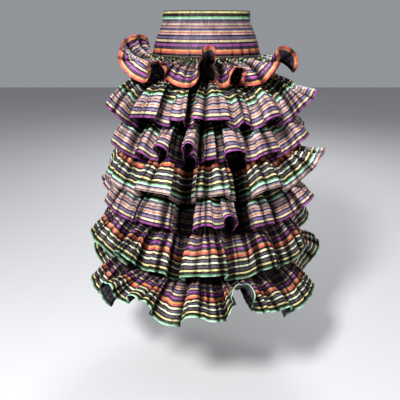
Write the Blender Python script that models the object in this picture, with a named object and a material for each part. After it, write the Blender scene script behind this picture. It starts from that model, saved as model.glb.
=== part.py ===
"""Tiered skirt: waistband, hip yoke, underskirt and seven gathered flounces.

The frame's origin is the centre of the waist at the top edge of the band.
+Z is up, the front faces -Y and +X is the right of the front view.
Angles round the body are azimuths in degrees: 0 is the centre front, 90 is
the right side and 180 is the centre back.
"""
import math

import bmesh
import bpy

# All sizes are metres and degrees.
WALL = 0.0016          # thickness of every cloth wall
GAP = 0.0003           # clearance that stands for a seam between two pieces
STRIP = 0.002          # width of the straight strip along each side seam
ROWS = 3               # facets down the length of a flounce
STEPS = 4              # facets on each side of a fold
PLAIN_STEPS = 22       # facets round half of a plain ring
CURL = 2.0             # degrees of curl for each degree of lift past a flounce's curl_from
CLEAR = 0.005          # least distance between two flounces
CELL = 0.006           # radial step of the table that keeps one flounce above the next
PLACES = 12            # places tested down a column, and round each two of its neighbours
RAISE = 2.0            # step in which a column is lifted off the flounces below
MOST_RAISE = 70        # most that a column is lifted
BEHIND = 1.6           # angle in radians past which a point lies behind a seam
PLACKET_HALF = 5       # half of the placket's width, in degrees round the body
WING_RISE = 10         # lift that a wing gains behind the side seam
SWELL = 2.3            # how much sooner a fold spreads below its gathers than a straight cone

# Outer face of band, yoke and underskirt. Columns: z, half_width, half_depth
RINGS = (
    (0.000, 0.1200, 0.0875),
    (-0.028, 0.1220, 0.0900),
    (-0.055, 0.1340, 0.1015),
    (-0.085, 0.1460, 0.1115),
    (-0.112, 0.1530, 0.1180),
    (-0.245, 0.1780, 0.1430),
    (-0.335, 0.1940, 0.1590),
    (-0.425, 0.2020, 0.1700),
    (-0.535, 0.2110, 0.1830),
    (-0.690, 0.2240, 0.2010),
)
BAND_LOW = -0.028
YOKE_LOW = -0.112

# One row a flounce. Columns: seam_z, cut (length of the strip's drop), spring (degrees by
# which it leaves the seam flatter than it ends), curl_from (lift past which it curls up
# towards its hem), left and right lift at the side seams, and for the back: folds, high
# lift, low lift, phase, wing (degrees by which the left side's arch reaches into the back)
FLOUNCES = {
    "flounce_1": (-0.1135, 0.110, 24, 68, 114, 62, 5, 88, 50, 0.2, 52),
    "flounce_2": (-0.1560, 0.168, 26, 58, 38, 54, 6, 60, 20, 1.7, 0),
    "flounce_3": (-0.2450, 0.158, 26, 56, 32, 34, 7, 56, 20, 3.1, 0),
    "flounce_4": (-0.3350, 0.168, 26, 58, 34, 40, 6, 54, 16, 4.4, 0),
    "flounce_5": (-0.4250, 0.162, 26, 56, 30, 24, 7, 56, 18, 5.2, 0),
    "flounce_6": (-0.5350, 0.188, 30, 58, 40, 26, 6, 58, 24, 0.9, 0),
    "flounce_7": (-0.6830, 0.196, 12, 78, 38, 34, 7, 76, 44, 2.6, 0),
}

# The folds of the front, left to right, one row a fold. A lift is the angle between the
# cloth and straight down, so a high one arches up. Columns: high_az, high_lift, low_az,
# low_lift, steep (1 stands the sides of the fold square, more leans them over) and full
# (more makes the high part broad and the low part a slit, less the other way round)
FRONT_FOLDS = {
    "flounce_1": (
        (-82, 114, -48, 56, 0.8, -0.1),
        (-33, 90, -18, 44, 0.8, -0.3),
        (2, 112, 10, 46, 1.2, -0.4),
        (19, 84, 33, 52, 0.9, -0.4),
        (57, 108, 90, 62, 0.8, -0.2),
    ),
    "flounce_2": (
        (-74, 56, -57, 22, 1.0, 0.5),
        (-42, 52, -24, 14, 1.2, 0.8),
        (-17, 50, -11, 14, 1.2, 0.6),
        (2, 54, 17, 16, 1.2, 0.7),
        (24, 46, 30, 36, 0.8, 0.2),
        (42, 54, 56, 26, 1.0, 0.5),
        (72, 74, 90, 54, 0.9, 0.2),
    ),
    "flounce_3": (
        (-70, 46, -53, 24, 1.0, 0.5),
        (-42, 50, -34, 38, 0.6, 0.2),
        (-25, 66, -18, 18, 1.3, -0.1),
        (-9, 70, -4, 14, 1.3, -0.1),
        (1, 42, 6, 14, 1.1, 0.8),
        (15, 60, 27, 38, 0.8, 0.2),
        (40, 50, 54, 26, 1.0, 0.5),
        (70, 58, 90, 34, 0.9, 0.2),
    ),
    "flounce_4": (
        (-70, 46, -50, 24, 1.0, 0.5),
        (-30, 50, -15, 6, 1.5, 0.7),
        (-12, 8, -10, 6, 0.5, 0.0),
        (2, 38, 16, 6, 1.5, 0.6),
        (18, 8, 20, 8, 0.5, 0.0),
        (36, 54, 52, 38, 0.7, 0.4),
        (71, 82, 90, 40, 0.9, 0.0),
    ),
    "flounce_5": (
        (-70, 48, -50, 26, 1.0, 0.3),
        (-31, 46, -15, 6, 1.5, 0.7),
        (-13, 8, -11, 6, 0.5, 0.0),
        (-1, 56, 5, 50, 0.6, 0.2),
        (11, 72, 18, 8, 1.5, 0.0),
        (20, 10, 22, 10, 0.5, 0.0),
        (32, 44, 48, 28, 0.8, 0.5),
        (64, 62, 90, 24, 0.9, 0.1),
    ),
    "flounce_6": (
        (-66, 62, -49, 30, 1.0, 0.4),
        (-40, 72, -32, 46, 0.7, 0.0),
        (-25, 48, -18, 8, 1.4, 0.5),
        (-1, 50, 14, 8, 1.5, 0.7),
        (17, 10, 20, 10, 0.5, 0.0),
        (32, 50, 46, 32, 0.8, 0.5),
        (62, 42, 90, 26, 0.8, 0.3),
    ),
    "flounce_7": (
        (-74, 54, -58, 44, 0.9, 0.2),
        (-41, 90, -35, 76, 0.7, 0.0),
        (-28, 88, -16, 60, 0.9, 0.2),
        (-4, 76, 3, 70, 0.6, 0.0),
        (14, 104, 22, 74, 1.0, -0.2),
        (31, 72, 43, 44, 0.9, 0.4),
        (60, 50, 90, 34, 0.9, 0.3),
    ),
}
LOWEST_FIRST = sorted(FLOUNCES, reverse=True)


def ring_at(z):
    """Half width and half depth of the body's outer face at a height."""
    for (z0, a0, b0), (z1, a1, b1) in zip(RINGS, RINGS[1:]):
        if z >= z1:
            t = min(1.0, max(0.0, (z - z0) / (z1 - z0)))
            return a0 + (a1 - a0) * t, b0 + (b1 - b0) * t
    return RINGS[-1][1], RINGS[-1][2]


def reach_at(z, azimuth):
    """Distance from the axis to the body's outer face."""
    a, b = ring_at(z)
    s, c = math.sin(math.radians(azimuth)), math.cos(math.radians(azimuth))
    return a * b / math.hypot(b * s, a * c)


def polar(reach, azimuth, z):
    s, c = math.sin(math.radians(azimuth)), math.cos(math.radians(azimuth))
    return (reach * s, -reach * c, z)


def back_folds(name):
    """Rows like those of FRONT_FOLDS for the plain back, spread by an uneven rhythm. A
    wing at the left side seam adds one more arch."""
    left, right, folds, high, low, phase, wing = FLOUNCES[name][4:]
    span = 180 - wing
    rows = []
    for i in range(folds):
        sway = math.sin(phase + 2.4 * i)
        lilt = math.cos(1.7 * phase + 3.9 * i)
        last = i == folds - 1
        high_az = 90 + span * (i + 0.5 + 0.12 * sway) / folds
        low_az = 90 + (span if last else span * (i + 1 + 0.12 * lilt) / folds)
        low_lift = left if last and not wing else low + 7 * sway
        rows.append((high_az, high + 9 * lilt, low_az, low_lift, 0.95 + 0.15 * sway,
                     0.35 + 0.3 * lilt))
    if wing:
        rows.append((270 - wing / 2, left + WING_RISE, 270, left, 1.0, 0.0))
    return rows


def fold_side(t, steep, full):
    """Shares of the way from a fold's low line to its high line, at the hem and the seam."""
    at_hem = t + steep * math.sin(2 * math.pi * t) / (2 * math.pi)
    at_hem -= full * math.sin(math.pi * t) / math.pi
    at_seam = t + max(0.0, full) * 0.7 * math.sin(math.pi * t) / math.pi
    return at_hem, at_seam


def fold_ring(name, steps):
    """Columns of a whole flounce from the left side seam round: (seam azimuth, hem
    azimuth, lift). The second result is how many belong to the front."""
    left, right = FLOUNCES[name][4:6]
    columns, front = [], 0
    for rows, start, first in ((FRONT_FOLDS[name], -90, left), (back_folds(name), 90, right)):
        nodes = [(start, first, 0, 0)]
        for high_az, high_lift, low_az, low_lift, steep, full in rows:
            nodes += [(high_az, high_lift, steep, full), (low_az, low_lift, steep, full)]
        for k, ((az0, lift0, _, _), (az1, lift1, steep, full)) in enumerate(zip(nodes, nodes[1:])):
            rising = k % 2 == 0
            for i in range(steps):
                t = i / steps
                hem, seam = fold_side(t if rising else 1 - t, steep, full)
                if not rising:
                    hem, seam = 1 - hem, 1 - seam
                rise = (1 - math.cos(math.pi * t)) / 2
                columns.append((az0 + (az1 - az0) * seam, az0 + (az1 - az0) * hem,
                                lift0 + (lift1 - lift0) * rise))
        front = front or len(columns)
    return columns, front


def profile(name, lift, rows):
    """Outward and upward steps of the cloth from the seam to the hem."""
    cut, spring, curl_from = FLOUNCES[name][1:4]
    bend = max(-60, spring * min(1.0, lift / 50) - CURL * max(0.0, lift - curl_from))
    out, up, path = 0.0, 0.0, [(0.0, 0.0)]
    for i in range(rows):
        angle = math.radians(lift + bend * (1 - 2 * (i + 0.5) / rows))
        out += cut / rows * math.sin(angle)
        up -= cut / rows * math.cos(angle)
        path.append((out, up))
    return path


def column_points(name, column, rows):
    """One column of a flounce as (reach, azimuth, z), from the seam to the hem."""
    seam_az, hem_az, lift = column
    seam_z = FLOUNCES[name][0]
    root = reach_at(seam_z, seam_az) + 2 * GAP + WALL / 2
    return [(root + out, seam_az + (hem_az - seam_az) * (1 - (1 - j / rows) ** SWELL), seam_z + up)
            for j, (out, up) in enumerate(profile(name, lift, rows))]


def column_samples(name, column):
    """Close points along the straight facets of a column."""
    points = column_points(name, column, ROWS)
    pieces = max(1, PLACES // ROWS)
    samples = [points[0]]
    for a, b in zip(points, points[1:]):
        samples += [tuple(p + (q - p) * k / pieces for p, q in zip(a, b)) for k in range(1, pieces + 1)]
    return samples


def seen_from(lower, point):
    """Distance and angle of a point from a lower flounce's seam."""
    reach, az, z = point
    seam_z = FLOUNCES[lower][0]
    out, down = reach - reach_at(seam_z, az), seam_z - z
    angle = math.atan2(out, down)
    return math.hypot(out, down), angle + (2 * math.pi if angle < -BEHIND else 0)


def tops_of(name, columns):
    """The highest angle of a flounce in each cell, by azimuth and distance."""
    tops = {}
    sides = [column_samples(name, column) for column in columns]
    for a, b in zip(sides, sides[1:] + sides[:1]):
        turn = 360 if b[0][1] < a[0][1] - 180 else 0
        across = max(1, int(max(abs(q[1] + turn - p[1]) for p, q in zip(a, b)) + 0.99))
        for p, q in zip(a, b):
            for i in range(across + 1):
                s = i / across
                az = p[1] + (q[1] + turn - p[1]) * s
                point = (p[0] + (q[0] - p[0]) * s, az, p[2] + (q[2] - p[2]) * s)
                far, angle = seen_from(name, point)
                for cell in (int(far / CELL), int(far / CELL) + 1, int(far / CELL) - 1):
                    key = (int(az) % 360, cell)
                    tops[key] = max(tops.get(key, -math.pi), angle)
    return tops


def lies_clear(name, column, below):
    """True when a column of a flounce passes above those below it."""
    for reach, az, z in column_samples(name, column)[2:]:
        for lower, tops in below.items():
            far, angle = seen_from(lower, (reach, az, z))
            for near in (-1, 0, 1):
                top = tops.get((int(az + near) % 360, int(far / CELL)))
                if top is not None and far * (angle - top) < CLEAR:
                    return False
    return True


def raise_needed(name, column, below):
    """Degrees by which a column has to be lifted to pass above the flounces below."""
    seam_az, hem_az, lift = column
    more = 0.0
    while more < MOST_RAISE and not lies_clear(name, (seam_az, hem_az, lift + more), below):
        more += RAISE
    return more


def settled_halves(steps):
    """Front and back columns of every flounce, lifted where one would cut another."""
    below, settled = {}, {}
    between = max(1, PLACES // steps)
    for name in LOWEST_FIRST:
        columns, front = fold_ring(name, steps)
        closed = columns + [(columns[0][0] + 360, columns[0][1] + 360, columns[0][2])]
        count = len(columns)
        raised = [0.0] * count
        for i, (here, there) in enumerate(zip(closed, closed[1:])):
            for k in range(between):
                column = tuple(p + (q - p) * k / between for p, q in zip(here, there))
                more = raise_needed(name, column, below)
                for j in (i, i + 1) if k else (i,):
                    raised[j % count] = max(raised[j % count], more)
        near = range(-(steps // 4), steps // 4 + 1)
        wide = [max(raised[(i + j) % count] for j in near) for i in range(count)]
        soft = [sum(wide[(i + j) % count] for j in near) / len(near) for i in range(count)]
        columns = [(s, h, lift + more) for (s, h, lift), more in zip(columns, soft)]
        closed = columns + [(columns[0][0] + 360, columns[0][1] + 360, columns[0][2])]
        settled[name] = (closed[:front + 1], closed[front:])
        below[name] = tops_of(name, columns)
        while len(below) > 2:
            below.pop(max(below))
    return settled


def cloth(name, color, roughness):
    material = bpy.data.materials.new(name)
    material.use_nodes = True
    shader = material.node_tree.nodes["Principled BSDF"]
    shader.inputs["Base Color"].default_value = (*color, 1.0)
    shader.inputs["Roughness"].default_value = roughness
    return material


def cloth_piece(name, points, offset, material):
    """Carries a flat grid to rows of points, and gives it the wall's thickness.

    offset is -1 where the points are the outer face, 0 where they are the middle
    and 1 where they are the inner face.
    """
    across, down = len(points[0]) - 1, len(points) - 1
    bm = bmesh.new()
    bmesh.ops.create_grid(bm, x_segments=across, y_segments=down, size=0.5)
    for vert in bm.verts:
        i, j = round((vert.co.x + 0.5) * across), round((0.5 - vert.co.y) * down)
        vert.co = points[j][i]
    mesh = bpy.data.meshes.new(name)
    bm.to_mesh(mesh)
    bm.free()
    mesh.shade_smooth()
    mesh.materials.append(material)
    obj = bpy.data.objects.new(name, mesh)
    bpy.context.scene.collection.objects.link(obj)
    wall = obj.modifiers.new("wall", "SOLIDIFY")
    wall.thickness = WALL
    wall.offset = offset
    return obj


def part_sides(points):
    """Gives each side edge of a half a narrow straight strip, just off the other half's."""
    parted = []
    for row in points:
        (x0, y0, z0), (x1, y1, z1) = row[0], row[-1]
        way0, way1 = math.copysign(1, row[1][1] - y0), math.copysign(1, row[-2][1] - y1)
        parted.append([(x0, way0 * GAP / 2, z0), (x0, way0 * (GAP / 2 + STRIP), z0)]
                      + row[1:-1]
                      + [(x1, way1 * (GAP / 2 + STRIP), z1), (x1, way1 * GAP / 2, z1)])
    return parted


def plain_ring(name, start, heights, material):
    """Half of a smooth ring of cloth whose outer face follows RINGS."""
    points = [[polar(reach_at(z, az), az, z)
               for az in (start + 180 * i / PLAIN_STEPS for i in range(PLAIN_STEPS + 1))]
              for z in heights]
    return cloth_piece(name, part_sides(points), -1, material)


def flounce_half(name, which, columns, material):
    """Half of a flounce, from its gathered seam to its free hem."""
    sides = [[polar(*point) for point in column_points(name, column, ROWS)] for column in columns]
    points = [list(row) for row in zip(*sides)]
    return cloth_piece(f"{name}_{which}", part_sides(points), 0, material)


def closure_placket(material):
    """A lapped strip of cloth that covers the opening at the centre back."""
    azimuths = range(180 - PLACKET_HALF, 180 + PLACKET_HALF + 1, 2)
    points = [[polar(reach_at(z, az) + GAP, az, z) for az in azimuths]
              for z in (-0.002, -0.015, BAND_LOW, -0.055, -0.085, -0.110)]
    return cloth_piece("closure_placket", points, 1, material)


def main():
    for obj in list(bpy.data.objects):
        bpy.data.objects.remove(obj, do_unlink=True)
    striped, dark = (0.30, 0.24, 0.28), (0.03, 0.025, 0.035)
    for which, start in (("front", -90), ("back", 90)):
        plain_ring(f"waistband_{which}", start, (0.0, -0.014, BAND_LOW),
                   cloth(f"waistband_{which}", striped, 0.55))
        plain_ring(f"yoke_{which}", start, (BAND_LOW - GAP, -0.055, -0.085, YOKE_LOW),
                   cloth(f"yoke_{which}", striped, 0.55))
        heights = [YOKE_LOW - GAP] + [z for z, a, b in RINGS if z < YOKE_LOW]
        plain_ring(f"underskirt_{which}", start, heights,
                   cloth(f"underskirt_{which}", dark, 0.8))
    closure_placket(cloth("closure_placket", striped, 0.55))
    for name, halves in settled_halves(STEPS).items():
        for which, columns in zip(("front", "back"), halves):
            flounce_half(name, which, columns, cloth(f"{name}_{which}", striped, 0.5))


main()
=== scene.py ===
"""Tiered skirt in striped taffeta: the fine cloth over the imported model."""
import math

import bmesh
import bpy
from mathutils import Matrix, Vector, noise


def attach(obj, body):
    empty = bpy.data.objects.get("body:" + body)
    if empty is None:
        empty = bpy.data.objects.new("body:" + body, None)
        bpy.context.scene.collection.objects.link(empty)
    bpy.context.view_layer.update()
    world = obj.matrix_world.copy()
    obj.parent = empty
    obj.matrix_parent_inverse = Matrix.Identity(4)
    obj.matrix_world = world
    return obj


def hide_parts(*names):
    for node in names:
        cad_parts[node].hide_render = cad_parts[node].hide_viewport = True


# Sizes of the part itself, in metres and degrees, the same as in its own source
WALL = 0.0016          # thickness of every cloth wall
GAP = 0.0003           # clearance that stands for a seam between two pieces
CURL = 2.0             # degrees of curl for each degree of lift past a flounce's curl_from
CLEAR = 0.005          # least distance between two flounces
CELL = 0.006           # radial step of the table that keeps one flounce above the next
PLACES = 12            # about how many places are tested where a column or fold has fewer steps
SKIPPED = 2            # places next to the seam that aren't tested
BELOW_TESTED = 2       # flounces below that are tested
RAISE = 2.0            # step in which a column is lifted off the flounces below
MOST_RAISE = 70        # most that a column is lifted
BEHIND = 1.6           # angle in radians past which a point lies behind a seam
PLACKET_HALF = 5       # half of the placket's width, in degrees round the body
WING_RISE = 10         # lift that a wing gains behind the side seam
SWELL = 2.3            # how much sooner a fold spreads below its gathers than a straight cone
MOST_CURL = 60         # most degrees of curl
SPRING_LIFT = 50       # lift from which a fold has its flounce's whole spring
SEAM_FULL = 0.7        # share of a fold's fullness that shows at the seam

# Unevenness of the back's folds, by two rhythms
SWAY_STEP = 2.4        # radians from one fold to the next in the first rhythm
LILT_STEP = 3.9        # the same in the second rhythm
LILT_PHASE = 1.7       # how much faster the second one follows a flounce's phase
BACK_STRAY = 0.12      # how far a fold strays from its even place, in folds
HIGH_STRAY = 9         # how far its high lift strays, in degrees
LOW_STRAY = 7          # how far its low lift strays
BACK_STEEP = (0.95, 0.15)      # usual steepness, and how far it strays
BACK_FULL = (0.35, 0.30)       # usual fullness, and how far it strays

# Fineness of the visible cloth
CLOTH = 0.0008         # thickness of a flounce's cloth
STEPS = 14           # columns worked out on each side of a fold
SPACING = 0.0029      # grid spacing along a hem
ROWS = 26           # grid steps down a flounce
HEM_ROWS = 6           # grid steps used to find where a hem runs
PLAIN_COLUMNS = 120    # grid steps round half of a plain ring
PLAIN_STEP = 0.003     # grid spacing down the band and yoke
UNDER_STEP = 0.011     # grid spacing down the underskirt
PLACKET_GRID = (12, 36)      # grid steps across and down the placket

# Outer face of band, yoke and underskirt. Columns: z, half_width, half_depth
RINGS = (
    (0.000, 0.1200, 0.0875),
    (-0.028, 0.1220, 0.0900),
    (-0.055, 0.1340, 0.1015),
    (-0.085, 0.1460, 0.1115),
    (-0.112, 0.1530, 0.1180),
    (-0.245, 0.1780, 0.1430),
    (-0.335, 0.1940, 0.1590),
    (-0.425, 0.2020, 0.1700),
    (-0.535, 0.2110, 0.1830),
    (-0.690, 0.2240, 0.2010),
)
BAND_LOW = -0.028
YOKE_LOW = -0.112
YOKE_BENDS = (-0.055, -0.085)        # heights between these at which the yoke's slope changes
PLACKET_HIGH = -0.002
PLACKET_LOW = -0.110
PLACKET_WIDTH = 0.026

# One row a flounce. Columns: seam_z, cut (length of the strip's drop), spring (degrees by
# which it leaves the seam flatter than it ends), curl_from (lift past which it curls up
# towards its hem), left and right lift at the side seams, and for the back: folds, high
# lift, low lift, phase, wing (degrees by which the left side's arch reaches into the back)
FLOUNCES = {
    "flounce_1": (-0.1135, 0.110, 24, 68, 114, 62, 5, 88, 50, 0.2, 52),
    "flounce_2": (-0.1560, 0.168, 26, 58, 38, 54, 6, 60, 20, 1.7, 0),
    "flounce_3": (-0.2450, 0.158, 26, 56, 32, 34, 7, 56, 20, 3.1, 0),
    "flounce_4": (-0.3350, 0.168, 26, 58, 34, 40, 6, 54, 16, 4.4, 0),
    "flounce_5": (-0.4250, 0.162, 26, 56, 30, 24, 7, 56, 18, 5.2, 0),
    "flounce_6": (-0.5350, 0.188, 30, 58, 40, 26, 6, 58, 24, 0.9, 0),
    "flounce_7": (-0.6830, 0.196, 12, 78, 38, 34, 7, 76, 44, 2.6, 0),
}

# The folds of the front, left to right, one row a fold. A lift is the angle between the
# cloth and straight down, so a high one arches up. Columns: high_az, high_lift, low_az,
# low_lift, steep (1 stands the sides of the fold square, more leans them over) and full
# (more makes the high part broad and the low part a slit, less the other way round)
FRONT_FOLDS = {
    "flounce_1": (
        (-82, 114, -48, 56, 0.8, -0.1),
        (-33, 90, -18, 44, 0.8, -0.3),
        (2, 112, 10, 46, 1.2, -0.4),
        (19, 84, 33, 52, 0.9, -0.4),
        (57, 108, 90, 62, 0.8, -0.2),
    ),
    "flounce_2": (
        (-74, 56, -57, 22, 1.0, 0.5),
        (-42, 52, -24, 14, 1.2, 0.8),
        (-17, 50, -11, 14, 1.2, 0.6),
        (2, 54, 17, 16, 1.2, 0.7),
        (24, 46, 30, 36, 0.8, 0.2),
        (42, 54, 56, 26, 1.0, 0.5),
        (72, 74, 90, 54, 0.9, 0.2),
    ),
    "flounce_3": (
        (-70, 46, -53, 24, 1.0, 0.5),
        (-42, 50, -34, 38, 0.6, 0.2),
        (-25, 66, -18, 18, 1.3, -0.1),
        (-9, 70, -4, 14, 1.3, -0.1),
        (1, 42, 6, 14, 1.1, 0.8),
        (15, 60, 27, 38, 0.8, 0.2),
        (40, 50, 54, 26, 1.0, 0.5),
        (70, 58, 90, 34, 0.9, 0.2),
    ),
    "flounce_4": (
        (-70, 46, -50, 24, 1.0, 0.5),
        (-30, 50, -15, 6, 1.5, 0.7),
        (-12, 8, -10, 6, 0.5, 0.0),
        (2, 38, 16, 6, 1.5, 0.6),
        (18, 8, 20, 8, 0.5, 0.0),
        (36, 54, 52, 38, 0.7, 0.4),
        (71, 82, 90, 40, 0.9, 0.0),
    ),
    "flounce_5": (
        (-70, 48, -50, 26, 1.0, 0.3),
        (-31, 46, -15, 6, 1.5, 0.7),
        (-13, 8, -11, 6, 0.5, 0.0),
        (-1, 56, 5, 50, 0.6, 0.2),
        (11, 72, 18, 8, 1.5, 0.0),
        (20, 10, 22, 10, 0.5, 0.0),
        (32, 44, 48, 28, 0.8, 0.5),
        (64, 62, 90, 24, 0.9, 0.1),
    ),
    "flounce_6": (
        (-66, 62, -49, 30, 1.0, 0.4),
        (-40, 72, -32, 46, 0.7, 0.0),
        (-25, 48, -18, 8, 1.4, 0.5),
        (-1, 50, 14, 8, 1.5, 0.7),
        (17, 10, 20, 10, 0.5, 0.0),
        (32, 50, 46, 32, 0.8, 0.5),
        (62, 42, 90, 26, 0.8, 0.3),
    ),
    "flounce_7": (
        (-74, 54, -58, 44, 0.9, 0.2),
        (-41, 90, -35, 76, 0.7, 0.0),
        (-28, 88, -16, 60, 0.9, 0.2),
        (-4, 76, 3, 70, 0.6, 0.0),
        (14, 104, 22, 74, 1.0, -0.2),
        (31, 72, 43, 44, 0.9, 0.4),
        (60, 50, 90, 34, 0.9, 0.3),
    ),
}
LOWEST_FIRST = sorted(FLOUNCES, reverse=True)

# The stripes. One row a stripe, top to bottom of the repeat. Columns: start (share of the
# repeat), then red, green and blue
REPEAT = 0.146         # length of one repeat along the cloth
STRIPES = (
    (0.000, 184, 220, 200), (0.024, 34, 26, 34), (0.050, 120, 102, 124), (0.078, 188, 162, 142),
    (0.112, 40, 30, 40), (0.128, 162, 128, 134), (0.165, 28, 24, 44), (0.188, 126, 124, 156),
    (0.208, 208, 168, 120), (0.232, 150, 50, 62), (0.250, 200, 170, 164), (0.276, 46, 34, 56),
    (0.305, 106, 92, 122), (0.345, 56, 26, 56), (0.366, 202, 184, 146), (0.404, 24, 14, 24),
    (0.436, 142, 72, 136), (0.480, 54, 40, 62), (0.532, 214, 146, 88),
    (0.572, 196, 90, 82), (0.612, 28, 16, 16), (0.652, 222, 212, 168), (0.684, 34, 22, 24),
    (0.718, 78, 66, 82), (0.744, 24, 16, 18), (0.764, 204, 218, 186), (0.796, 40, 28, 34),
    (0.826, 74, 62, 74), (0.858, 26, 16, 16), (0.888, 208, 196, 136), (0.920, 34, 28, 20),
    (0.976, 100, 158, 108),
)

# Where in the repeat each flounce's hem falls, and the top of the band and of the yoke
HEM_PHASE = {
    "flounce_1": 0.615, "flounce_2": 0.475, "flounce_3": 0.475, "flounce_4": 1.145,
    "flounce_5": 0.475, "flounce_6": 1.018, "flounce_7": 1.018,
}
BAND_PHASE = 0.875
YOKE_PHASE = 1.055
WHOLE_REPEATS = 4      # added to the flounces' phases, so that no place is below zero
PLAIN_STRETCH = 1.05   # how much closer the stripes lie on the band, yoke and placket
PLAIN_LENGTH = 0.35    # length round half of a plain ring, for its threads

# How unevenly a flounce's stripes were pulled. Columns: shift, seed, length of the waves
PULLS = ((0.0045, 5, 0.021), (0.0035, 8, 0.060))
PULL_FROM = 3          # the pull grows from the hem and is whole at a third of the drop

# Colour, gloss and weave of the cloth. STREAKS has one row for the single threads and one
# for wear and painted light and shade on the crinkled facets. Columns: scale round and down
# the cloth, darkest and lightest factor
FACE_ROUGH = 0.42
REVERSE_ROUGH = 0.55
SHINE = 0.26           # specular level where there is no painted shade; the painted shade dims it with the colour
LEAST_LIGHT = 0.012    # share of the colour and shine left by the darkest painted shade, in a slit
STREAKS = (
    ((700.0, 9.0, 1.0), 0.55, 1.30),
    # wear, with painted light and shade of the crinkled facets
    ((64.0, 5.0, 1.0), 0.60, 1.26),
)
GRAIN_DETAIL = 3.0     # octaves of the threads' and crinkles' noise
GRAIN_RANGE = (0.3, 0.7)     # most of that noise lies between these
WEAVE_SCALE = 420.0
RIB_STRENGTH = 0.3
RIB_HEIGHT = 0.0002
CRINKLE_SCALE = 62.0
CRINKLE_TWIST = 0.6
CRINKLE_STRENGTH = 0.55
CRINKLE_HEIGHT = 0.006

# The reverse side and the hem
REVERSE_GREY = (92, 80, 100)
GREY_SHARE = 0.72      # how far the reverse side fades to that grey
LEAST_UNDER = 0.10     # share of the colour left by the painted shade on the reverse side far above a hem
TURNED_HEM = 0.010     # width of the hem that is turned to the reverse side
TURNED_SHADE = 0.35    # share of the reverse side's painted shade that falls on it
THREAD = (30, 24, 34)
STITCH = 0.003         # length of a stitch and the space after it
STITCH_SHARE = 0.62    # share of that length that the thread takes
STITCH_UP = 0.006      # height of the row of stitches above the hem
STITCH_HALF = 0.0004   # half of the row's width
STITCH_SINK = 1.5      # how far it sinks in, in heights of a rib

# The underskirt's cotton
DARK_ROUGH = 0.9
DARK_GRAIN = 900.0
DARK_DETAIL = 4.0
# the underskirt's own dark colour, made near-black as painted shade for the gaps between flounces
DARK_COLORS = ((8, 7, 10), (26, 22, 30))
DARK_STRENGTH = 0.4
DARK_HEIGHT = 0.0003

# Creases that run down a flounce from its gathers. Columns: spacing at the hem, depth,
# share of the spacing that the sharp trough takes, and share of the drop that it runs
CREASES = (
    (0.022, 0.0054, 0.26, 0.60),
    (0.034, 0.0060, 0.17, 1.30),
    (0.078, 0.0080, 0.09, 2.40),
)
STRAY = 0.9            # how far creases stray from their even places, in spacings
STRAY_OVER = 3.3       # length over which they stray, in spacings
KIND_SEED = 3.1        # sets the straying of each kind of crease apart
SIZES = (0.3, 1.0)     # least size of a crease, and how much chance adds
RUNS = (0.45, 0.9)     # the same for the length that it runs
RUN_SEED = 0.37        # sets the chance of its length apart from that of its size
RUN_FADE = 1.7         # more makes a crease end more suddenly
WIDENING = 1.2         # how much wider the longer creases are towards the gathers
WIDE_ABOVE = 0.8       # share of the drop above which they widen
TROUGH_POWER = 1.4     # shape of a trough: 2 is round, 1 is pointed
DARK_POWER = 0.7       # less spreads the painted shade further up the sides of a trough
PUFF = 0.0060          # height of the soft puffs between the long creases
PUFF_POWER = 0.7       # less makes a puff flatter
PUFF_FROM = 1.8        # a puff grows from the gathers and is whole at 1 / this of the drop
PUFF_UNEVEN = (0.8, 0.6, 0.11)       # usual height, unevenness, length of its waves

# Wandering creases of the stiff cloth
CRUMPLE = 0.07         # distance between them along the hem
CRUMPLE_DOWN = 2.4     # how many lie down a drop
CRUMPLE_LEAN = 0.5     # how much they lean
CRUMPLE_SEED = 17
CRUMPLE_WIDE = 0.10    # how wide they are, in values of the noise
CRUMPLE_FROM = 3       # they grow from the gathers and are whole at a third of the drop
CRUMPLE_DEEP = 0.0032
# painted shade in the wandering creases
CRUMPLE_DARK = 0.5

# Small unevenness of a flounce. Columns: height, bumps in a metre, place in the noise
ROUGH = ((0.0018, 50, 0), (0.0011, 110, 9))
ROUGH_FROM = 4         # it grows from the gathers and is whole at a quarter of the drop
SIDE_EASE = 0.02       # all relief fades out over this length at a side seam
GATHER_START = 0.7     # share of the creases' depth at the seam
GATHER_GROW = 8        # how fast it grows below the seam, in shares of a drop
PROUD = 0.0024         # how far the gathers stand proud at the seam
PROUD_RUN = 0.12       # share of the drop over which they do

# Seeds that set the creases of one flounce apart from those of another
FRONT_SEED = 0.0
BACK_SEED = 31.0
PHASE_SEED = 7.0       # for each unit of a flounce's phase
DRIFT_SEED = 0.37
SCATTER = (12.9898, 78.233, 43758.5453)      # scatter the values of chance

# Painted shade in the slits between two panels of a flounce
SLIT_LIFT = 24         # a fold's low line with less lift than this is a slit
SLIT_HALF = 8          # half of a slit's width, in degrees
SLIT_PANELS = 12       # how far to each side its panels are looked for, in degrees
PANEL_MOST = 60        # lift of a panel past which a slit gets no darker
SLIT_FROM = 5          # lift between a slit and its panels from which it is dark
SLIT_OVER = 18         # more lift that makes it fully dark
SLIT_GAIN = 1.8        # how broad the full dark is
SLIT_GROW = (2.5, 0.2)       # how fast the dark grows down the drop, and where it begins

# Other painted shade of a flounce, from 0 to 1
CREASE_DARK = 0.94     # most in a crease
BOLD = 1.3             # how soon a crease is that dark
LOW_BOLD = 1.9         # the same on the two lowest flounces, from LOW_FROM on
LOW_FROM = 6
SHELTER = 0.42         # at the seam, under the flounce above
TOP_SHELTER = 0.25     # the same on the first flounce, which has none above
SHELTER_RUN = 0.3      # share of the drop over which it fades
ABOVE_DARK = 0.97      # at the seam, under a slit of the flounce above
ABOVE_START = 1.25     # more makes that dark full further down
ABOVE_RUN = 0.4        # share of the drop over which it fades
UNDER_POWER = 6        # more keeps the painted shade of the reverse side closer to the hem
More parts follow.
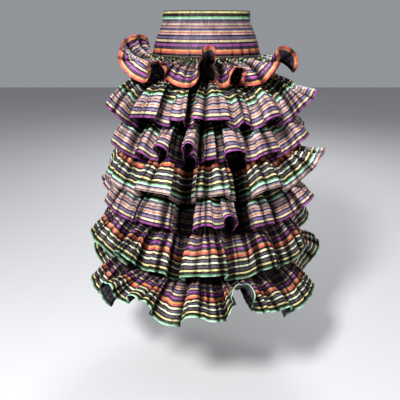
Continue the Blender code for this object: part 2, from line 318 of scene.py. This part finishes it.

# Band, yoke, placket and underskirt
PLAIN_SHADE = 0.5      # painted shade that tones down their smooth cloth, which catches more light
PLAIN_UNDER = 0.6      # painted shade on their reverse side
RIPPLE_SIDE = 4        # grid steps over which ripples fade out at a side seam
RIPPLE_EDGE = 5        # they fade out over 1 / this of the height at an upper or lower edge
PLACKET_PUFF = 0.0006
PLACKET_ROUGH = (0.0004, 3, 5, 2)    # height, columns, rows, place in the noise

# Ripples of the smooth cloth. Columns: height, degrees round the body for each, number in
# a metre of height, place in the noise
RIPPLES = ((0.0011, 9, 26, 3.0), (0.0008, 4, 9, 8.0))

# Small tucks pressed into the yoke. Columns: azimuth, height above the yoke's lower edge
TUCKS = (
    (-78, 0.030), (-63, 0.046), (-22, 0.020), (9, 0.016), (33, 0.026), (47, 0.052), (58, 0.034),
    (71, 0.042), (104, 0.036), (127, 0.022), (149, 0.048), (196, 0.030), (224, 0.044), (251, 0.026),
)
TUCK_DEEP = 0.0016
TUCK_HALF = 1.3        # half of a tuck's width, in degrees
TUCK_DARK = 380        # painted shade for each metre of a tuck's depth

# Floor, world and lights. Columns of LIGHTS: name, place, size, watts
FLOOR_Z = -1.16
FLOOR_SIZE = 14
FLOOR_COLOR = (0.48, 0.48, 0.49, 1)
FLOOR_ROUGH = 0.9
WORLD_COLOR = (0.80, 0.83, 0.88, 1)
WORLD_STRENGTH = 0.36
LIT_PLACE = (0, 0, -0.4)
LIGHTS = (
    ("key", (-0.8, -1.8, 1.2), 0.4, 146),
    ("fill", (2.0, -2.4, 0.3), 1.2, 38),
    ("back", (0.6, 2.4, 1.6), 1.2, 72),
)
CAMERA_PLACE = (-0.0179, -1.3461, -0.0231)
CAMERA_DOWN = 21.80    # degrees by which the camera looks down
LENS = 40.5            # millimetres, on a sensor that is 36 wide
SENSOR = 36


def linear(value):
    """A colour channel as it is seen, from 0 to 255, as an amount of light from 0 to 1."""
    c = value / 255
    return c / 12.92 if c <= 0.04045 else ((c + 0.055) / 1.055) ** 2.4


def srgb(r, g, b):
    """A colour as it is seen, as amounts of light."""
    return (linear(r), linear(g), linear(b), 1.0)


def new_material(name, roughness):
    """A new material with its nodes, links and shader."""
    material = bpy.data.materials.new(name)
    material.use_nodes = True
    nodes = material.node_tree.nodes
    shader = nodes["Principled BSDF"]
    shader.inputs["Roughness"].default_value = roughness
    return material, nodes, material.node_tree.links, shader


def math_node(nodes, links, operation, first, second=None):
    """The result of a sum whose values are numbers or sockets."""
    node = nodes.new("ShaderNodeMath")
    node.operation = operation
    for socket, value in zip(node.inputs, (first, second)):
        if isinstance(value, (int, float)):
            socket.default_value = value
        elif value is not None:
            links.new(value, socket)
    return node.outputs["Value"]


def mix_node(nodes, links, kind, factor, first, second):
    """Two colours, mixed by a factor that is a number or a socket."""
    node = nodes.new("ShaderNodeMix")
    node.data_type = "RGBA"
    node.blend_type = kind
    for name, value in (("Factor", factor), ("A", first), ("B", second)):
        if isinstance(value, (int, float, tuple)):
            node.inputs[name].default_value = value
        else:
            links.new(value, node.inputs[name])
    return node.outputs["Result"]


def range_node(nodes, links, value, low, high, start=0.0, end=1.0):
    """A value between start and end, carried to between low and high."""
    spread = nodes.new("ShaderNodeMapRange")
    spread.inputs["From Min"].default_value = start
    spread.inputs["From Max"].default_value = end
    spread.inputs["To Min"].default_value = low
    spread.inputs["To Max"].default_value = high
    links.new(value, spread.inputs["Value"])
    return spread.outputs["Result"]


def noise_node(nodes, links, place, scale, detail, twist=0.0):
    """The value of a noise texture at a place."""
    grain = nodes.new("ShaderNodeTexNoise")
    grain.inputs["Scale"].default_value = scale
    grain.inputs["Detail"].default_value = detail
    grain.inputs["Distortion"].default_value = twist
    links.new(place, grain.inputs["Vector"])
    return grain.outputs["Fac"]


def scale_node(nodes, links, place, scale):
    """A place, scaled in each direction."""
    mapping = nodes.new("ShaderNodeMapping")
    mapping.inputs["Scale"].default_value = scale
    links.new(place, mapping.inputs["Vector"])
    return mapping.outputs["Vector"]


def bump_node(nodes, links, height, strength, distance, over=None):
    """The normal of a bump, laid over another normal if one is given."""
    bump = nodes.new("ShaderNodeBump")
    bump.inputs["Strength"].default_value = strength
    bump.inputs["Distance"].default_value = distance
    links.new(height, bump.inputs["Height"])
    if over is not None:
        links.new(over, bump.inputs["Normal"])
    return bump.outputs["Normal"]


def layer_node(nodes, links, layer):
    """A place in one of the cloth's maps, and its two directions by themselves."""
    uv = nodes.new("ShaderNodeUVMap")
    uv.uv_map = layer
    split = nodes.new("ShaderNodeSeparateXYZ")
    links.new(uv.outputs["UV"], split.inputs["Vector"])
    return uv.outputs["UV"], split.outputs["X"], split.outputs["Y"]


def painted_shade_factor(nodes, links, attribute, least):
    """Painted shade: a factor that darkens the colour, by one of the cloth's own attributes, down
    to a least share.
    """
    deep = nodes.new("ShaderNodeAttribute")
    deep.attribute_name = attribute
    return range_node(nodes, links, deep.outputs["Fac"], 1.0, least)


def stripes(nodes, links, down):
    """The colour of the stripe at a place down the cloth, counted in repeats."""
    ramp = nodes.new("ShaderNodeValToRGB")
    ramp.color_ramp.interpolation = "CONSTANT"
    stops = ramp.color_ramp.elements
    made = len(stops)
    for i, (start, r, g, b) in enumerate(STRIPES):
        stop = stops[i] if i < made else stops.new(start)
        stop.position = start
        stop.color = srgb(r, g, b)
    links.new(math_node(nodes, links, "FRACT", down), ramp.inputs["Fac"])
    return ramp.outputs["Color"]


def reverse_side(nodes, links, color, up):
    """The cloth's colour on its reverse side, greyer and with painted shade, save on the turned
    hem.
    """
    turned = math_node(nodes, links, "LESS_THAN", up, TURNED_HEM)
    inner = math_node(nodes, links, "SUBTRACT", 1.0, turned)
    grey = math_node(nodes, links, "MULTIPLY", inner, GREY_SHARE)
    color = mix_node(nodes, links, "MIX", grey, color, srgb(*REVERSE_GREY))
    # Painted shade, darker far above the hem
    shade = painted_shade_factor(nodes, links, "under", LEAST_UNDER)
    share = math_node(nodes, links, "MAXIMUM", inner, TURNED_SHADE)
    return mix_node(nodes, links, "MULTIPLY", share, color, shade)


def stitches(nodes, links, along, up):
    """1 on the stitches of a hem, and 0 elsewhere."""
    count = math_node(nodes, links, "DIVIDE", along, STITCH)
    part = math_node(nodes, links, "FRACT", count)
    dash = math_node(nodes, links, "LESS_THAN", part, STITCH_SHARE)
    away = math_node(nodes, links, "SUBTRACT", up, STITCH_UP)
    far = math_node(nodes, links, "ABSOLUTE", away)
    line = math_node(nodes, links, "LESS_THAN", far, STITCH_HALF)
    return math_node(nodes, links, "MULTIPLY", dash, line)


def woven(nodes, links, uv, stitch):
    """The normal of the crinkled cloth with the weave's fine ribs, sunk under each stitch."""
    even = scale_node(nodes, links, uv, (1.0, REPEAT, 1.0))
    height = math_node(nodes, links, "MULTIPLY", stitch, -STITCH_SINK)
    for direction in "XY":
        wave = nodes.new("ShaderNodeTexWave")
        wave.bands_direction = direction
        wave.inputs["Scale"].default_value = WEAVE_SCALE
        links.new(even, wave.inputs["Vector"])
        height = math_node(nodes, links, "ADD", height, wave.outputs["Fac"])
    place = nodes.new("ShaderNodeTexCoord").outputs["Object"]
    crinkle = noise_node(nodes, links, place, CRINKLE_SCALE, GRAIN_DETAIL, CRINKLE_TWIST)
    soft = bump_node(nodes, links, crinkle, CRINKLE_STRENGTH, CRINKLE_HEIGHT)
    return bump_node(nodes, links, height, RIB_STRENGTH, RIB_HEIGHT, soft)


def striped_cloth(name, reverse=False):
    """Crisp taffeta with woven stripes that run round the skirt."""
    rough = REVERSE_ROUGH if reverse else FACE_ROUGH
    material, nodes, links, shader = new_material(name, rough)
    uv, _, down = layer_node(nodes, links, "cloth")
    _, along, up = layer_node(nodes, links, "hem")
    color = stripes(nodes, links, down)
    # Threads, then wear with painted light and shade of the facets
    for scale, low, high in STREAKS:
        grain = noise_node(nodes, links, scale_node(nodes, links, uv, scale), 1.0, GRAIN_DETAIL)
        streaks = range_node(nodes, links, grain, low, high, *GRAIN_RANGE)
        color = mix_node(nodes, links, "MULTIPLY", 1.0, color, streaks)
    if reverse:
        color = reverse_side(nodes, links, color, up)
    # Painted shade, from one of the cloth's own attributes, darkens the colour and dims the
    # specular shine with it
    shade = painted_shade_factor(nodes, links, "painted_shade", LEAST_LIGHT)
    color = mix_node(nodes, links, "MULTIPLY", 1.0, color, shade)
    gloss = math_node(nodes, links, "MULTIPLY", shade, SHINE)
    links.new(gloss, shader.inputs["Specular IOR Level"])
    stitch = stitches(nodes, links, along, up)
    color = mix_node(nodes, links, "MIX", stitch, color, srgb(*THREAD))
    links.new(color, shader.inputs["Base Color"])
    links.new(woven(nodes, links, uv, stitch), shader.inputs["Normal"])
    return material


def dark_cloth(name):
    """Plain dark cotton of the underskirt. Its near-black also serves as painted shade in the gaps
    between the flounces.
    """
    material, nodes, links, shader = new_material(name, DARK_ROUGH)
    place = nodes.new("ShaderNodeTexCoord").outputs["Object"]
    grain = noise_node(nodes, links, place, DARK_GRAIN, DARK_DETAIL)
    ramp = nodes.new("ShaderNodeValToRGB")
    for stop, color in zip(ramp.color_ramp.elements, DARK_COLORS):
        stop.color = srgb(*color)
    links.new(grain, ramp.inputs["Fac"])
    links.new(ramp.outputs["Color"], shader.inputs["Base Color"])
    normal = bump_node(nodes, links, grain, DARK_STRENGTH, DARK_HEIGHT)
    links.new(normal, shader.inputs["Normal"])
    return material


def ring_at(z):
    """Half width and half depth of the body's outer face at a height."""
    for (z0, a0, b0), (z1, a1, b1) in zip(RINGS, RINGS[1:]):
        if z >= z1:
            t = min(1.0, max(0.0, (z - z0) / (z1 - z0)))
            return a0 + (a1 - a0) * t, b0 + (b1 - b0) * t
    return RINGS[-1][1], RINGS[-1][2]


def reach_at(z, azimuth):
    """Distance from the axis to the body's outer face."""
    a, b = ring_at(z)
    s, c = math.sin(math.radians(azimuth)), math.cos(math.radians(azimuth))
    return a * b / math.hypot(b * s, a * c)


def polar(reach, azimuth, z):
    """The point at a distance from the axis, an azimuth and a height."""
    s, c = math.sin(math.radians(azimuth)), math.cos(math.radians(azimuth))
    return (reach * s, -reach * c, z)


def back_folds(name):
    """Rows like those of FRONT_FOLDS for the plain back, spread by an uneven rhythm. A
    wing at the left side seam adds one more arch."""
    left, _, folds, high, low, phase, wing = FLOUNCES[name][4:]
    span = 180 - wing
    rows = []
    for i in range(folds):
        sway = math.sin(phase + SWAY_STEP * i)
        lilt = math.cos(LILT_PHASE * phase + LILT_STEP * i)
        last = i == folds - 1
        high_az = 90 + span * (i + 0.5 + BACK_STRAY * sway) / folds
        low_az = 90 + (span if last else span * (i + 1 + BACK_STRAY * lilt) / folds)
        high_lift = high + HIGH_STRAY * lilt
        low_lift = left if last and not wing else low + LOW_STRAY * sway
        steep = BACK_STEEP[0] + BACK_STEEP[1] * sway
        full = BACK_FULL[0] + BACK_FULL[1] * lilt
        rows.append((high_az, high_lift, low_az, low_lift, steep, full))
    if wing:
        rows.append((270 - wing / 2, left + WING_RISE, 270, left, 1.0, 0.0))
    return rows


def fold_side(t, steep, full):
    """Shares of the way from a fold's low line to its high line, at the hem and the seam."""
    at_hem = t + steep * math.sin(2 * math.pi * t) / (2 * math.pi)
    at_hem -= full * math.sin(math.pi * t) / math.pi
    at_seam = t + max(0.0, full) * SEAM_FULL * math.sin(math.pi * t) / math.pi
    return at_hem, at_seam


def fold_ring(name, steps):
    """Columns of a whole flounce from the left side seam round: (seam azimuth, hem
    azimuth, lift). The second result is how many belong to the front."""
    left, right = FLOUNCES[name][4:6]
    columns, front = [], 0
    for rows, start, first in ((FRONT_FOLDS[name], -90, left), (back_folds(name), 90, right)):
        nodes = [(start, first, 0, 0)]
        for high_az, high_lift, low_az, low_lift, steep, full in rows:
            nodes += [(high_az, high_lift, steep, full), (low_az, low_lift, steep, full)]
        for k, ((az0, lift0, _, _), (az1, lift1, steep, full)) in enumerate(zip(nodes, nodes[1:])):
            rising = k % 2 == 0
            for i in range(steps):
                t = i / steps
                hem, seam = fold_side(t if rising else 1 - t, steep, full)
                if not rising:
                    hem, seam = 1 - hem, 1 - seam
                rise = (1 - math.cos(math.pi * t)) / 2
                columns.append((az0 + (az1 - az0) * seam, az0 + (az1 - az0) * hem,
                                lift0 + (lift1 - lift0) * rise))
        front = front or len(columns)
    return columns, front


def profile(name, lift, rows):
    """Outward and upward steps of the cloth from the seam to the hem."""
    cut, spring, curl_from = FLOUNCES[name][1:4]
    bend = spring * min(1.0, lift / SPRING_LIFT) - CURL * max(0.0, lift - curl_from)
    bend = max(-MOST_CURL, bend)
    out, up, path = 0.0, 0.0, [(0.0, 0.0)]
    for i in range(rows):
        angle = math.radians(lift + bend * (1 - 2 * (i + 0.5) / rows))
        out += cut / rows * math.sin(angle)
        up -= cut / rows * math.cos(angle)
        path.append((out, up))
    return path


def column_points(name, column, rows):
    """One column of a flounce as (reach, azimuth, z), from the seam to the hem."""
    seam_az, hem_az, lift = column
    seam_z = FLOUNCES[name][0]
    root = reach_at(seam_z, seam_az) + 2 * GAP + WALL / 2
    points = []
    for j, (out, up) in enumerate(profile(name, lift, rows)):
        spread = 1 - (1 - j / rows) ** SWELL
        points.append((root + out, seam_az + (hem_az - seam_az) * spread, seam_z + up))
    return points


def between(a, b, share):
    """The values at a share of the way from a to b."""
    return tuple(p + (q - p) * share for p, q in zip(a, b))


def column_samples(name, column):
    """Close points along the straight facets of a column."""
    points = column_points(name, column, ROWS)
    pieces = max(1, PLACES // ROWS)
    samples = [points[0]]
    for a, b in zip(points, points[1:]):
        samples += [between(a, b, k / pieces) for k in range(1, pieces + 1)]
    return samples


def seen_from(lower, point):
    """Distance and angle of a point from a lower flounce's seam."""
    reach, az, z = point
    seam_z = FLOUNCES[lower][0]
    out, down = reach - reach_at(seam_z, az), seam_z - z
    angle = math.atan2(out, down)
    return math.hypot(out, down), angle + (2 * math.pi if angle < -BEHIND else 0)


def tops_of(name, columns):
    """The highest angle of a flounce in each cell, by azimuth and distance."""
    tops = {}
    sides = [column_samples(name, column) for column in columns]
    for a, b in zip(sides, sides[1:] + sides[:1]):
        turn = 360 if b[0][1] < a[0][1] - 180 else 0
        across = max(1, int(max(abs(q[1] + turn - p[1]) for p, q in zip(a, b)) + 0.99))
        for p, q in zip(a, b):
            for i in range(across + 1):
                s = i / across
                az = p[1] + (q[1] + turn - p[1]) * s
                point = (p[0] + (q[0] - p[0]) * s, az, p[2] + (q[2] - p[2]) * s)
                far, angle = seen_from(name, point)
                for cell in (int(far / CELL), int(far / CELL) + 1, int(far / CELL) - 1):
                    key = (int(az) % 360, cell)
                    tops[key] = max(tops.get(key, -math.pi), angle)
    return tops


def lies_clear(name, column, below):
    """True when a column of a flounce passes above those below it."""
    for reach, az, z in column_samples(name, column)[SKIPPED:]:
        for lower, tops in below.items():
            far, angle = seen_from(lower, (reach, az, z))
            for near in (-1, 0, 1):
                top = tops.get((int(az + near) % 360, int(far / CELL)))
                if top is not None and far * (angle - top) < CLEAR:
                    return False
    return True


def raise_needed(name, column, below):
    """Degrees by which a column has to be lifted to pass above the flounces below."""
    seam_az, hem_az, lift = column
    more = 0.0
    while more < MOST_RAISE and not lies_clear(name, (seam_az, hem_az, lift + more), below):
        more += RAISE
    return more


def settled_halves(steps):
    """Front and back columns of every flounce, lifted where one would cut another."""
    below, settled = {}, {}
    tested = max(1, PLACES // steps)
    for name in LOWEST_FIRST:
        columns, front = fold_ring(name, steps)
        closed = columns + [(columns[0][0] + 360, columns[0][1] + 360, columns[0][2])]
        count = len(columns)
        raised = [0.0] * count
        for i, (here, there) in enumerate(zip(closed, closed[1:])):
            for k in range(tested):
                more = raise_needed(name, between(here, there, k / tested), below)
                for j in (i, i + 1) if k else (i,):
                    raised[j % count] = max(raised[j % count], more)
        near = range(-(steps // 4), steps // 4 + 1)
        wide = [max(raised[(i + j) % count] for j in near) for i in range(count)]
        soft = [sum(wide[(i + j) % count] for j in near) / len(near) for i in range(count)]
        columns = [(s, h, lift + more) for (s, h, lift), more in zip(columns, soft)]
        closed = columns + [(columns[0][0] + 360, columns[0][1] + 360, columns[0][2])]
        settled[name] = (closed[:front + 1], closed[front:])
        below[name] = tops_of(name, columns)
        while len(below) > BELOW_TESTED:
            below.pop(max(below))
    return settled


def cloth_grid(across, down, point_at, uv_at, hem_at, shade_at):
    """A flat grid carried to point_at(i, j), i across and j down, with its maps and the painted
    shade that shade_at gives each point.
    """
    bm = bmesh.new()
    # Painted shade of each point, for the right side and for the reverse
    painted_shade = bm.verts.layers.float.new("painted_shade")
    under = bm.verts.layers.float.new("under")
    cloth = bm.loops.layers.uv.new("cloth")
    hem = bm.loops.layers.uv.new("hem")
    bmesh.ops.create_grid(bm, x_segments=across, y_segments=down, size=0.5)
    places = {}
    for vert in bm.verts:
        places[vert] = (round((vert.co.x + 0.5) * across), round((0.5 - vert.co.y) * down))
    for face in bm.faces:
        face.smooth = True
        for loop in face.loops:
            loop[cloth].uv = uv_at(*places[loop.vert])
            loop[hem].uv = hem_at(*places[loop.vert])
    for vert, (i, j) in places.items():
        vert.co = point_at(i, j)
        vert[painted_shade], vert[under] = shade_at(i, j)
    return bm


def finish_sheet(bm, name, face, back, wall, node):
    """Turns a grid into a thin shell with the right side outside, in a node's place."""
    mesh = bpy.data.meshes.new(name)
    bm.to_mesh(mesh)
    bm.free()
    mesh.materials.append(face)
    mesh.materials.append(back)
    obj = bpy.data.objects.new(name, mesh)
    bpy.context.scene.collection.objects.link(obj)
    shell = obj.modifiers.new("wall", "SOLIDIFY")
    shell.thickness = wall
    shell.offset = 0.0
    shell.material_offset = 1
    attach(obj, "root")
    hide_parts(node)
    return obj


def evened(name, columns):
    """The columns of a flounce again, at an even spacing along its hem."""
    hems = [Vector(polar(*column_points(name, column, HEM_ROWS)[-1])) for column in columns]
    along = [0.0]
    for a, b in zip(hems, hems[1:]):
        along.append(along[-1] + (b - a).length)
    count = round(along[-1] / SPACING)
    even = []
    k = 0
    for i in range(count + 1):
        want = along[-1] * i / count
        while k < len(along) - 2 and along[k + 1] < want:
            k += 1
        t = min(1.0, (want - along[k]) / (along[k + 1] - along[k]))
        even.append(between(columns[k], columns[k + 1], t))
    return even, along[-1]


def drift(along, seed, scale):
    """A value that wanders about zero along a hem."""
    return noise.noise(Vector((along / scale, seed, DRIFT_SEED * seed)))


def chance(line, seed):
    """An even spread of values from 0 to 1, the same each time for the same line."""
    value = math.sin(line * SCATTER[0] + seed * SCATTER[1]) * SCATTER[2]
    return value - math.floor(value)


def smooth(t):
    """Rises from 0 to 1 as t does, level at both ends."""
    t = max(0.0, min(1.0, t))
    return t * t * (3 - 2 * t)


def crease_place(along, seed, kind):
    """A place along a hem, counted in creases of one kind."""
    spacing = CREASES[kind][0]
    return along / spacing + STRAY * drift(along, seed + KIND_SEED * kind, STRAY_OVER * spacing)


def creases(along, v, seed):
    """Depth of the gathers at a place along the hem and down the drop, and the painted shade in
    their troughs.
    """
    total, dark = 0.0, 0.0
    for k, (_, deep, sharp, run) in enumerate(CREASES):
        x = crease_place(along, seed, k)
        line = math.floor(x)
        wide = sharp * (1 + WIDENING * k * max(0.0, WIDE_ABOVE - v))
        for near in (line, line + 1):
            size = SIZES[0] + SIZES[1] * chance(near, seed + k)
            length = run * (RUNS[0] + RUNS[1] * chance(near, seed + k + RUN_SEED))
            trough = size * smooth(RUN_FADE * (1 - v / length))
            trough *= math.exp(-abs((x - near) / wide) ** TROUGH_POWER)
            total -= deep * trough
            dark = max(dark, trough ** DARK_POWER)
    usual, uneven, waves = PUFF_UNEVEN
    puff = abs(math.sin(math.pi * crease_place(along, seed, 2))) ** PUFF_POWER
    height = PUFF * (puff - 0.5) * smooth(v * PUFF_FROM)
    return total + height * (usual + uneven * drift(along, seed, waves)), dark


def crumple(along, v, seed):
    """How near a place is to one of the stiff cloth's wandering creases, from 0 to 1."""
    x = along / CRUMPLE
    value = noise.noise(Vector((x, CRUMPLE_DOWN * v + CRUMPLE_LEAN * x, seed + CRUMPLE_SEED)))
    return max(0.0, 1 - abs(value) / CRUMPLE_WIDE) * smooth(CRUMPLE_FROM * v)


def slit_near(name, az):
    """How near an azimuth is to the middle of one of a flounce's slits, from 0 to 1."""
    folds = FRONT_FOLDS[name] + tuple(back_folds(name))
    slits = [low_az for _, _, low_az, low_lift, _, _ in folds if low_lift < SLIT_LIFT]
    away = [((az - slit + 180) % 360 - 180) / SLIT_HALF for slit in slits]
    return max([0.0] + [math.exp(-far ** 2) for far in away])


def slit_shade(name, columns):
    """How much painted shade each column gets, by how deep it lies in a slit between two panels,
    from 0 to 1.
    """
    values = []
    for _, hem_az, lift in columns:
        panel = max(other[2] for other in columns if abs(other[1] - hem_az) < SLIT_PANELS)
        deep = smooth((min(panel, PANEL_MOST) - lift - SLIT_FROM) / SLIT_OVER)
        values.append(deep * min(1.0, SLIT_GAIN * slit_near(name, hem_az)))
    return values


def flounce(name, which, columns, face, back):
    """Half of a flounce: a gathered strip with crisp creases and a turned hem."""
    number = int(name[-1])
    cut, phase = FLOUNCES[name][1], FLOUNCES[name][9]
    seed = phase * PHASE_SEED + (FRONT_SEED if which == "front" else BACK_SEED)
    columns, length = evened(name, columns)
    across = len(columns) - 1
    rows = []
    for column in columns:
        rows.append([Vector(polar(*point)) for point in column_points(name, column, ROWS)])
    slit = slit_shade(name, columns)
    # Painted shade at the top of a flounce, under each slit of the flounce above
    above = [0.0] * len(columns)
    if number > 2:
        above = [slit_near(f"flounce_{number - 1}", seam_az) for seam_az, _, _ in columns]
    # Painted shadow under the flounce above, and how soon creases get their painted shade
    shelter = TOP_SHELTER if number == 1 else SHELTER
    bold = LOW_BOLD if number >= LOW_FROM else BOLD

    def point_at(i, j):
        wide = rows[min(i + 1, across)][j] - rows[max(i - 1, 0)][j]
        tall = rows[i][min(j + 1, ROWS)] - rows[i][max(j - 1, 0)]
        out = tall.cross(wide).normalized()
        v, along = j / ROWS, length * i / across
        rough = 0.0
        for height, scale, place in ROUGH:
            rough += height * noise.noise(rows[i][j] * scale + Vector((seed, place, 0)))
        rough -= CRUMPLE_DEEP * crumple(along, v, seed)
        ease = min(1.0, min(i, across - i) * SPACING / SIDE_EASE)
        start = min(1.0, v * GATHER_GROW + GATHER_START)
        proud = PROUD * smooth(1 - v / PROUD_RUN)
        deep = creases(along, v, seed)[0]
        return rows[i][j] + out * (deep * start + proud + rough * min(1.0, ROUGH_FROM * v)) * ease

    def shade_at(i, j):
        # Painted shade: in crease troughs and wandering creases, at the seam under the flounce
        # above and under its slits, and in this flounce's own slits. The second value is painted
        # shade on the reverse side, darker far above the hem.
        v, along = j / ROWS, length * i / across
        dark = CREASE_DARK * min(1.0, bold * creases(along, v, seed)[1])
        dark = max(dark, CRUMPLE_DARK * crumple(along, v, seed))
        dark = max(dark, shelter * smooth(1 - v / SHELTER_RUN))
        dark = max(dark, ABOVE_DARK * above[i] * smooth(ABOVE_START - v / ABOVE_RUN))
        dark = max(dark, slit[i] * smooth(v * SLIT_GROW[0] + SLIT_GROW[1]))
        return dark, 1 - v ** UNDER_POWER

    def uv_at(i, j):
        along, up = length * i / across, 1 - j / ROWS
        pull = sum(shift * drift(along, seed + more, waves) for shift, more, waves in PULLS)
        down = HEM_PHASE[name] + WHOLE_REPEATS
        return (along, down - (cut * up + pull * smooth(PULL_FROM * up)) / REPEAT)

    def hem_at(i, j):
        return (length * i / across, cut * (1 - j / ROWS))

    bm = cloth_grid(across, ROWS, point_at, uv_at, hem_at, shade_at)
    obj = finish_sheet(bm, f"cloth_{name}_{which}", face, back, CLOTH, f"{name}_{which}")


def tucks(z, az):
    """Depth of the small tucks in the yoke."""
    total = 0.0
    for tuck_az, height in TUCKS:
        up = (z - YOKE_LOW) / height
        if 0 <= up < 1:
            total -= TUCK_DEEP * smooth(1 - up) * math.exp(-((az - tuck_az) / TUCK_HALF) ** 2)
    return total


def plain_half(name, start, heights, phase, face, back, step=PLAIN_STEP):
    """Half of a smooth ring of cloth between two or more heights."""
    across = PLAIN_COLUMNS
    fine = []
    for z0, z1 in zip(heights, heights[1:]):
        steps = max(1, int((z0 - z1) / step))
        fine += [z0 + (z1 - z0) * k / steps for k in range(steps)]
    fine.append(heights[-1])
    down = len(fine) - 1

    def point_at(i, j):
        az, z = start + 180 * i / across, fine[j]
        ripple = 0.0
        for height, degrees, count, place in RIPPLES:
            ripple += height * noise.noise(Vector((az / degrees, z * count, place)))
        side = min(i, across - i) / RIPPLE_SIDE
        ease = min(1.0, side, RIPPLE_EDGE * j / down, RIPPLE_EDGE * (down - j) / down)
        sink = tucks(z, az) if name.startswith("yoke") else 0.0
        x, y, z = polar(reach_at(z, az) - WALL / 2 + ripple * ease + sink, az, z)
        if i in (0, across):
            y += math.copysign(GAP / 2, -1 if start < 0 else 1)
        return (x, y, z)

    def uv_at(i, j):
        down_cloth = (heights[0] - fine[j]) * PLAIN_STRETCH / REPEAT
        return (PLAIN_LENGTH * i / across, phase + down_cloth)

    def hem_at(i, j):
        return (PLAIN_LENGTH * i / across, fine[j] - heights[-1])

    def shade_at(i, j):
        # Painted shade: the smooth cloth toned down, darker in the tucks, and painted shade on the
        # reverse side
        az = start + 180 * i / across
        return min(1.0, PLAIN_SHADE - TUCK_DARK * tucks(fine[j], az)), PLAIN_UNDER

    bm = cloth_grid(across, down, point_at, uv_at, hem_at, shade_at)
    return finish_sheet(bm, f"cloth_{name}", face, back, WALL, name)


def placket(face, back):
    """The lapped strip at the centre back, its stripes level with the band and yoke."""
    across, down = PLACKET_GRID
    height = PLACKET_HIGH - PLACKET_LOW

    def place(i, j):
        az = 180 - PLACKET_HALF + 2 * PLACKET_HALF * i / across
        return az, PLACKET_HIGH - height * j / down

    def point_at(i, j):
        az, z = place(i, j)
        rough, columns, rows, shift = PLACKET_ROUGH
        puff = PLACKET_PUFF * math.sin(math.pi * i / across)
        puff += rough * noise.noise(Vector((i / columns, j / rows, shift)))
        return polar(reach_at(z, az) + GAP + WALL / 2 + puff, az, z)

    def uv_at(i, j):
        z = place(i, j)[1]
        top, phase = (0.0, BAND_PHASE) if z > BAND_LOW else (BAND_LOW, YOKE_PHASE)
        return (PLACKET_WIDTH * i / across, phase + (top - z) * PLAIN_STRETCH / REPEAT)

    def hem_at(i, j):
        return (height * j / down, PLACKET_WIDTH * (0.5 - abs(i / across - 0.5)))

    def shade_at(i, j):
        # Painted shade, the same as on the band and yoke
        return PLAIN_SHADE, PLAIN_UNDER

    bm = cloth_grid(across, down, point_at, uv_at, hem_at, shade_at)
    obj = finish_sheet(bm, "cloth_closure_placket", face, back, WALL / 2, "closure_placket")


def plain_halves(which, start, face, back, dark):
    """Half of the waistband, yoke and underskirt."""
    band = plain_half(f"waistband_{which}", start, (0.0, BAND_LOW), BAND_PHASE, face, back)
    heights = (BAND_LOW - GAP, *YOKE_BENDS, YOKE_LOW)
    yoke = plain_half(f"yoke_{which}", start, heights, YOKE_PHASE, face, back)
    heights = (YOKE_LOW - GAP, RINGS[-1][0])
    under = plain_half(f"underskirt_{which}", start, heights, 0.0, dark, dark, UNDER_STEP)


def skirt():
    """Every piece of the skirt."""
    face = striped_cloth("striped_face")
    back = striped_cloth("striped_back", reverse=True)
    dark = dark_cloth("underskirt_dark")
    for which, start in (("front", -90), ("back", 90)):
        plain_halves(which, start, face, back, dark)
    placket(face, back)
    for name, halves in settled_halves(STEPS).items():
        for which, columns in zip(("front", "back"), halves):
            flounce(name, which, columns, face, back)


def studio():
    """Pale floor, soft lights and the camera."""
    bpy.ops.mesh.primitive_plane_add(size=FLOOR_SIZE, location=(0, 0, FLOOR_Z))
    floor = bpy.context.object
    floor.name = "floor"
    material, _, _, shader = new_material("floor_pale", FLOOR_ROUGH)
    shader.inputs["Base Color"].default_value = FLOOR_COLOR
    floor.data.materials.append(material)
    scene = bpy.context.scene
    scene.view_settings.view_transform = "Standard"
    world = bpy.data.worlds.new("studio")
    world.use_nodes = True
    background = world.node_tree.nodes["Background"]
    background.inputs["Color"].default_value = WORLD_COLOR
    background.inputs["Strength"].default_value = WORLD_STRENGTH
    scene.world = world
    for name, place, size, watts in LIGHTS:
        lamp = bpy.data.lights.new(name, "AREA")
        lamp.size = size
        lamp.energy = watts
        obj = bpy.data.objects.new(name, lamp)
        obj.location = place
        aim = Vector(LIT_PLACE) - Vector(place)
        obj.rotation_euler = aim.to_track_quat("-Z", "Y").to_euler()
        scene.collection.objects.link(obj)
    camera = bpy.data.objects.new("camera", bpy.data.cameras.new("camera"))
    camera.data.lens = LENS
    camera.data.sensor_width = SENSOR
    camera.location = CAMERA_PLACE
    camera.rotation_euler = (math.radians(90 - CAMERA_DOWN), 0, 0)
    scene.collection.objects.link(camera)
    scene.camera = camera


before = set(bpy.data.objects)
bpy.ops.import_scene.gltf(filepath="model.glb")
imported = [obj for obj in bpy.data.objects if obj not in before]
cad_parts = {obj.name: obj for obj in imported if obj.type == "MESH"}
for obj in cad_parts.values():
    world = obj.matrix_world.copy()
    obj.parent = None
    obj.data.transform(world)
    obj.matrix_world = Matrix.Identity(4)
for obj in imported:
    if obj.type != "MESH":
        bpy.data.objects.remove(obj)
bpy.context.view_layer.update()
skirt()
studio()
